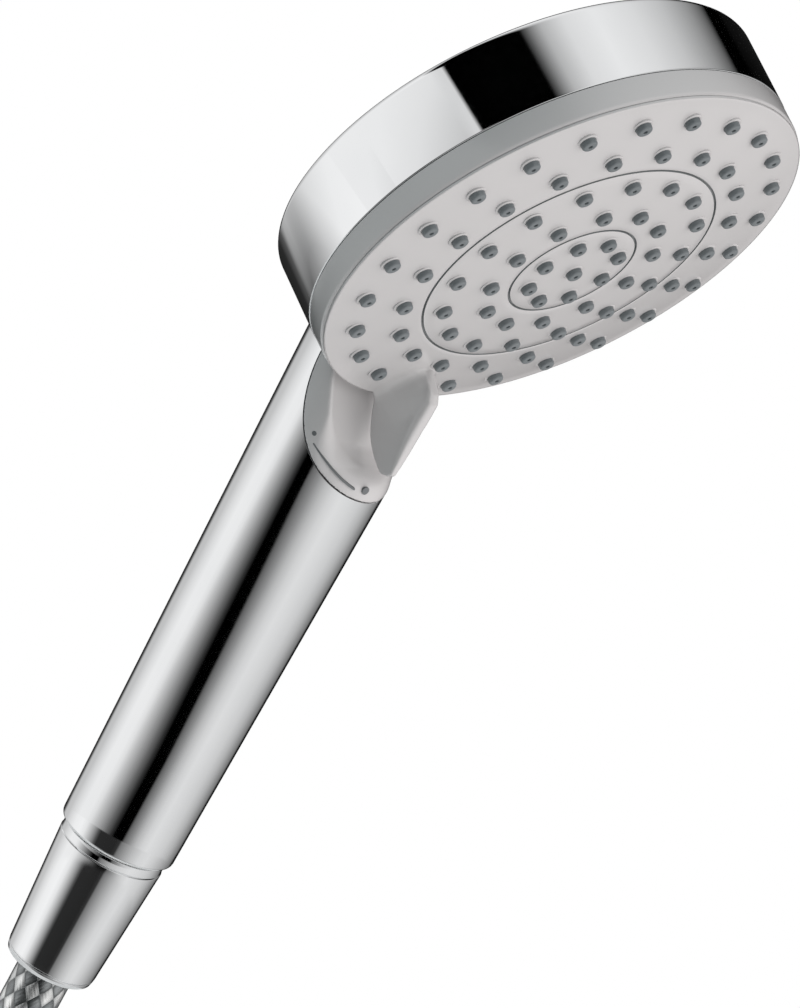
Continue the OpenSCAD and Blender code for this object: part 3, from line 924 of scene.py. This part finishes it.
def face_outline():
    """Outline of the domed disc with its grooves, lip and skirt, hollow behind."""
    radii = set(np.linspace(0, LIP_R - 1.2, 27).round(3))
    top = []
    for groove in GROOVE_RADII:
        radii = {r for r in radii if abs(r - groove) > 0.9}
    for r in radii:
        top.append((r, dome_at(r)))
    for groove in GROOVE_RADII:
        for offset, depth in GROOVE_SECTION:
            r = groove + offset
            top.append((r, dome_at(r) - depth * GROOVE_DEPTH))
    top.sort()
    lip = rounded(
        [
            (LIP_R - 1.5, dome_at(LIP_R - 1.5), 0),
            (LIP_R, dome_at(LIP_R) + 0.15, 0.5),
            (LIP_R, LIP_LOW - 0.2, 0.3),
            (SKIRT_R, LIP_LOW - 0.2, 0),
            (SKIRT_R, RING_LOW + 1, 0.2),
            (SKIRT_IN_R, RING_LOW + 1, 0.2),
        ],
        6,
    )[1:]
    under = [(r, dome_at(r) - FACE_WALL) for r in np.linspace(SKIRT_IN_R, 0, 12)]
    return top + [tuple(p) for p in lip] + under


def at_nozzles(outline, segments, name):
    """One closed solid of an outline at every nozzle, as a single object.

    The outer ring leaves out the nozzle where the fin stands.
    """
    base, base_faces = turned(outline, segments)
    spots = [(0.0, 0.0)]
    for count, radius in NOZZLE_RINGS:
        for i in range(count):
            if i or count != FIN_RING_COUNT:
                a = math.tau * i / count - math.pi / 2
                spots.append((radius * math.cos(a), radius * math.sin(a)))
    points, faces = [], []
    for x, y in spots:
        first = len(points) * len(base)
        points.append(base + [x, y, dome_at(math.hypot(x, y))])
        faces += [[first + i for i in face] for face in base_faces]
    obj = mesh_object(name, to_row(np.concatenate(points)), faces)
    outwards(obj)
    return obj


def build_face():
    """Turning disc with its grooves, a low collar round each nozzle hole, and the fin."""
    disc = lathe("face_disc", face_outline(), 300, to_row)
    collar = rounded(
        [
            (1.0, -0.6, 0),
            (COLLAR_R, -0.6, 0),
            (COLLAR_R, 0.0, 0),
            (COLLAR_R - 0.2, COLLAR_OUT, 0.1),
            (1.0, COLLAR_OUT, 0),
        ],
        3,
    )
    combine(disc, "UNION", at_nozzles(collar, 28, "collars"))
    hole_r = NOZZLE_R + 0.03
    hole = [(0, -4.5), (hole_r, -4.5), (hole_r, 1.0), (0, 1.0)]
    combine(disc, "DIFFERENCE", at_nozzles(hole, 28, "holes"))
    fin = solid_from("fin", fin_distance, (-8, -61, -4.2), (8, -32, 14.5), 0.3, to_row)
    combine(disc, "UNION", fin)
    disc.name = "spray_disc"
    finish_piece(disc, "face", "satin_grey", SATIN_GREY, "spray_face")
    disc.data.materials.append(GROOVE_PAINTED_SHADE)
    # Painted shade: the grooves' floors get a darker grey in place of the shade down in the narrow grooves
    for polygon in disc.data.polygons:
        x, y, height = to_head(np.array(polygon.center) / MM)
        radius = math.hypot(x, y)
        in_groove = any(abs(radius - groove) < GROOVE_HALF for groove in GROOVE_RADII)
        if in_groove and -1 < height - dome_at(radius) < -0.15:
            polygon.material_index = 1
    return disc


build_face()


def build_nozzles():
    """Soft nozzles with rounded tips and blind holes, on their mat behind the face."""
    root = -FACE_WALL - 0.5
    hole_floor = -1.2
    tip = rounded(
        [
            (0, root, 0),
            (NOZZLE_R, root, 0),
            (NOZZLE_R, 0.15, 0.3),
            (NOZZLE_R - 0.08, NOZZLE_OUT, 0.5),
            (NOZZLE_HOLE_R, NOZZLE_OUT, 0.15),
            (NOZZLE_HOLE_R - 0.1, hole_floor, 0),
            (0, hole_floor, 0),
        ],
        4,
    )
    nozzles = at_nozzles(tip, 28, "nozzles")
    rim = SKIRT_IN_R - 0.1
    front = [(r, dome_at(r) - FACE_WALL - 0.05) for r in np.linspace(0, rim, 14)]
    back = [(r, dome_at(r) - FACE_WALL - 1.2) for r in np.linspace(rim, 0, 14)]
    combine(nozzles, "UNION", lathe("mat", front + back, 120, to_row))
    nozzles.name = "nozzles"
    return finish_piece(nozzles, "face", "silicone", SILICONE, "nozzle_mat")


build_nozzles()


# ---------------------------------------------------------------- conical nut

def build_cone_nut():
    """Conical nut: thin collar, a step, the long cone and a round lower lip."""
    outline = rounded(
        [
            (10.3, -0.5, 0.15),
            (11.3, -0.5, 0.25),
            (11.42, -2.35, 0.1),
            (11.3, -2.6, 0.05),
            (11.55, -2.8, 0.2),
            (9.9, -30.05, 0.12),
            (9.55, -30.15, 0.05),
            (9.55, -30.4, 0.05),
            (9.82, -30.5, 0.12),
            (9.55, -31.6, 0.3),
            (8.4, -32.3, 0.5),
            (7.2, -32.0, 0.4),
            (7.2, -13.4, 0),
            (10.3, -13.3, 0),
        ],
        6,
    )
    nut = lathe("conical_nut", outline, 192)
    return finish_piece(nut, "cone_nut", "nut_chrome", NUT_CHROME, "cone_nut")


build_cone_nut()


# ---------------------------------------------------------------- carried-over CAD pieces

def keep_cad_pieces():
    """The CAD nodes that show as they are get smooth shading and their slot's material."""
    slot_of = {part["node"]: part["material_slot"] for part in frame["record"]["subparts"]}
    for name, obj in NODE.items():
        if obj.hide_render:
            continue
        obj.data.materials.clear()
        obj.data.materials.append(MATERIAL_OF_SLOT[slot_of[name]])
        shade(obj.data, 28)


keep_cad_pieces()


# ---------------------------------------------------------------- studio

# The floor: its height just under the coil, its radius and its middle
FLOOR_Z = -263.4
FLOOR_R = 300.0
FLOOR_AT = (60.0, 60.0)


def add_floor():
    """Plain pale disc under the coil; the rest of the studio is white."""
    outline = [(0, -6), (FLOOR_R, -6), (FLOOR_R, 0), (0, 0)]
    floor = lathe("floor", outline, 96, lambda points: points + [*FLOOR_AT, FLOOR_Z])
    material, shader = new_material("floor_white")
    paper = noise(material, 40.0, 3.0)
    link(material, tint(material, paper, (0.86, 0.86, 0.86), (0.9, 0.9, 0.9)), shader.inputs["Base Color"])
    shader.inputs["Roughness"].default_value = 0.8
    floor.data.materials.append(material)


def ramp(material, value, stops):
    """Grey values between stops of (place, grey), on a 0 to 1 input."""
    node = material.node_tree.nodes.new("ShaderNodeValToRGB")
    elements = node.color_ramp.elements
    while len(elements) > 1:
        elements.remove(elements[-1])
    for i, (place, grey) in enumerate(stops):
        element = elements[0] if i == 0 else elements.new(place)
        element.position = place
        element.color = (grey, grey, grey, 1)
    link(material, value, node.inputs["Fac"])
    return node.outputs["Color"]


def turn_stops(stops):
    """Stops by azimuth in degrees as stops from 0 to 1 round the turn."""
    return [((azimuth + 180) / 360, grey) for azimuth, grey in stops]


def blend_by(material, value, start, full, first, second):
    """The first colour up to a start value, the second from a full value on."""
    share = add(material, "ShaderNodeMapRange")
    share.inputs["From Min"].default_value = start
    share.inputs["From Max"].default_value = full
    link(material, value, share.inputs["Value"])
    node = add(material, "ShaderNodeMix", data_type="RGBA")
    link(material, share.outputs["Result"], node.inputs[0])
    link(material, first, node.inputs[6])
    link(material, second, node.inputs[7])
    return node.outputs[2]


# Greys seen round the horizon, by azimuth in degrees; 0 is straight in front of the face
ROUND_STOPS = (
    (-180, 0.51), (-163, 0.66), (-145, 0.79), (-125, 0.78), (-115, 0.70), (-103, 0.48),
    (-90, 0.28), (-78, 0.12), (-68, 0.03), (-61, 0.0), (-43, 0.0), (-40, 0.10), (-29, 0.24),
    (-17, 0.45), (-5, 0.60), (8, 0.68), (25, 0.63), (43, 0.56), (62, 0.42), (80, 0.25),
    (92, 0.17), (98, 0.06), (104, 0.0), (146, 0.02), (154, 0.08), (160, 0.34), (166, 0.48),
    (180, 0.51),
)
# The same a little lower, where the conical nut looks
LOW_STOPS = (
    (-180, 0.51), (-165, 0.66), (-148, 0.80), (-130, 0.84), (-118, 0.74), (-108, 0.50),
    (-98, 0.25), (-91, 0.08), (-86, 0.022), (-52, 0.018), (-45, 0.03), (-41, 0.16), (-28, 0.30),
    (-12, 0.48), (4, 0.62), (20, 0.66), (38, 0.56), (56, 0.42), (75, 0.28), (90, 0.17),
    (98, 0.06), (104, 0.0), (146, 0.02), (154, 0.08), (160, 0.34), (166, 0.48), (180, 0.51),
)
# The same well below the horizon
DEEP_STOPS = (
    (-180, 0.27), (-172, 0.38), (-163, 0.52), (-147, 0.67), (-134, 0.78), (-110, 0.60),
    (-88, 0.25), (-60, 0.05), (-20, 0.30), (20, 0.60), (60, 0.40), (100, 0.0), (140, 0.0),
    (152, 0.02), (161, 0.07), (170, 0.17), (180, 0.27),
)
# Greys on the arch overhead, by angle from the horizon on the camera's left
ARCH_STOPS = (
    (0, 0.60), (25.5, 0.62), (26.5, 0.0), (57.5, 0.0), (60, 0.10), (66, 0.42), (75, 0.66),
    (88, 0.76), (104, 0.66), (118, 0.50), (132, 0.27), (140, 0.11), (144, 0.0), (180, 0.0),
)
# Slopes are sines of the angle above the horizon. Below PANEL_TOP the black panel in front, whose
# middle is at PANEL_AZIMUTH, leans to the camera's left: by PANEL_LEAN of a turn for each unit of
# slope above PANEL_SLOPE, at most PANEL_LEAN_MOST, and less towards PANEL_REACH from its middle
PANEL_AZIMUTH = math.radians(-60)
PANEL_REACH = math.radians(80)
PANEL_TOP = -0.2
PANEL_SLOPE = -0.3827
PANEL_LEAN = 0.83
PANEL_LEAN_MOST = 0.075
# Slopes where the greys of one band start to give way to the next, and where they have
LOW_START = -0.414
LOW_FULL = -0.422
DEEP_START = -0.57
DEEP_FULL = -0.64
ARCH_START = math.sin(math.radians(20))
ARCH_FULL = math.sin(math.radians(24))
# Azimuth of the arch's left foot
ARCH_AZIMUTH = math.radians(-103)
# Strengths of what is mirrored, of the light on matt surfaces, and of the plain backdrop
MIRROR_STRENGTH = 1.25
SOFT_STRENGTH = 1.1
BACKDROP_STRENGTH = 1.0
# The light on matt surfaces: where it comes from, its narrowness, and its colours from behind
# and from the front
SOFT_LIGHT_FROM = (0.62, -0.78, -0.1)
SOFT_FOCUS = 2.1
SOFT_SHADE = (0.05, 0.09, 0.095)
SOFT_WHITE = (1.96, 1.89, 1.88)
# A narrower light from the upper left, which the drum keeps off the tongue
SIDE_LIGHT_FROM = (-0.64, 0.20, 0.74)
SIDE_FOCUS = 5.0
SIDE_LIGHT = (0.68, 0.71, 0.72)


def along_direction(material, direction, x, y, z):
    """How far a point lies along a direction."""
    value = math_node(material, "MULTIPLY", x, direction[0])
    value = math_node(material, "MULTIPLY_ADD", y, direction[1], value)
    return math_node(material, "MULTIPLY_ADD", z, direction[2], value)


def background(world, colour, strength):
    """A Background shader of a linked colour."""
    node = add(world, "ShaderNodeBackground", Strength=strength)
    link(world, colour, node.inputs["Color"])
    return node.outputs[0]


def shader_by(world, share, first, second):
    """The second shader where the share is 1, the first where it is 0."""
    node = add(world, "ShaderNodeMixShader")
    link(world, share, node.inputs[0])
    link(world, first, node.inputs[1])
    link(world, second, node.inputs[2])
    return node.outputs[0]


def mirrored_studio(world, x, y, z):
    """What polished surfaces show: bands of grey panels by height, and an arch overhead."""
    azimuth = math_node(world, "ARCTAN2", x, math_node(world, "MULTIPLY", y, -1.0))
    above = math_node(world, "MULTIPLY_ADD", z, PANEL_LEAN, -PANEL_LEAN * PANEL_SLOPE)
    lean = math_node(world, "MINIMUM", math_node(world, "MAXIMUM", above, 0.0), PANEL_LEAN_MOST)
    lean = math_node(world, "MULTIPLY", lean, math_node(world, "LESS_THAN", z, PANEL_TOP))
    away = math_node(world, "ABSOLUTE", math_node(world, "SUBTRACT", azimuth, PANEL_AZIMUTH))
    near = math_node(world, "MAXIMUM", math_node(world, "MULTIPLY_ADD", away, -1 / PANEL_REACH, 1.0), 0.0)
    plain_place = math_node(world, "MULTIPLY_ADD", azimuth, 1 / math.tau, 0.5)
    round_place = math_node(world, "MULTIPLY_ADD", lean, near, plain_place)
    level = ramp(world, round_place, turn_stops(ROUND_STOPS))
    low = ramp(world, plain_place, turn_stops(LOW_STOPS))
    deep = ramp(world, plain_place, turn_stops(DEEP_STOPS))
    horizon = blend_by(world, z, LOW_START, LOW_FULL, level, low)
    horizon = blend_by(world, z, DEEP_START, DEEP_FULL, horizon, deep)

    left_x = math_node(world, "MULTIPLY", x, math.sin(ARCH_AZIMUTH))
    left = math_node(world, "MULTIPLY_ADD", y, -math.cos(ARCH_AZIMUTH), left_x)
    arch_place = math_node(world, "MULTIPLY", math_node(world, "ARCTAN2", z, left), 1 / math.pi)
    overhead = ramp(world, arch_place, [(angle / 180, grey) for angle, grey in ARCH_STOPS])
    return blend_by(world, z, ARCH_START, ARCH_FULL, horizon, overhead)


def soft_studio(world, x, y, z):
    """The light on matt surfaces: wide and frontal, with a narrower glow from the side."""
    front = along_direction(world, SOFT_LIGHT_FROM, x, y, z)
    facing = math_node(world, "POWER", math_node(world, "MULTIPLY_ADD", front, 0.49, 0.5), SOFT_FOCUS)
    side = math_node(world, "MAXIMUM", along_direction(world, SIDE_LIGHT_FROM, x, y, z), 0.0)
    glow = add(world, "ShaderNodeVectorMath", operation="SCALE")
    glow.inputs[0].default_value = SIDE_LIGHT
    link(world, math_node(world, "POWER", side, SIDE_FOCUS), glow.inputs["Scale"])
    both = add(world, "ShaderNodeVectorMath", operation="ADD")
    link(world, tint(world, facing, SOFT_SHADE, SOFT_WHITE), both.inputs[0])
    link(world, glow.outputs[0], both.inputs[1])
    return both.outputs[0]


def add_world():
    """White studio: panels for reflections, soft light for the rest, white behind the object."""
    world = bpy.data.worlds.new("studio")
    world.use_nodes = True
    bpy.context.scene.world = world
    world.node_tree.nodes.clear()
    place = add(world, "ShaderNodeTexCoord")
    split = add(world, "ShaderNodeSeparateXYZ")
    link(world, place.outputs["Generated"], split.inputs["Vector"])
    mirrored = background(world, mirrored_studio(world, *split.outputs), MIRROR_STRENGTH)
    soft = background(world, soft_studio(world, *split.outputs), SOFT_STRENGTH)
    white = add(world, "ShaderNodeBackground", Color=(1, 1, 1, 1), Strength=BACKDROP_STRENGTH)
    ray = add(world, "ShaderNodeLightPath")
    by_kind = shader_by(world, ray.outputs["Is Glossy Ray"], soft, mirrored)
    seen = shader_by(world, ray.outputs["Is Camera Ray"], by_kind, white.outputs[0])
    output = add(world, "ShaderNodeOutputWorld")
    link(world, seen, output.inputs["Surface"])


add_floor()
add_world()
bpy.context.scene.view_settings.view_transform = "Standard"
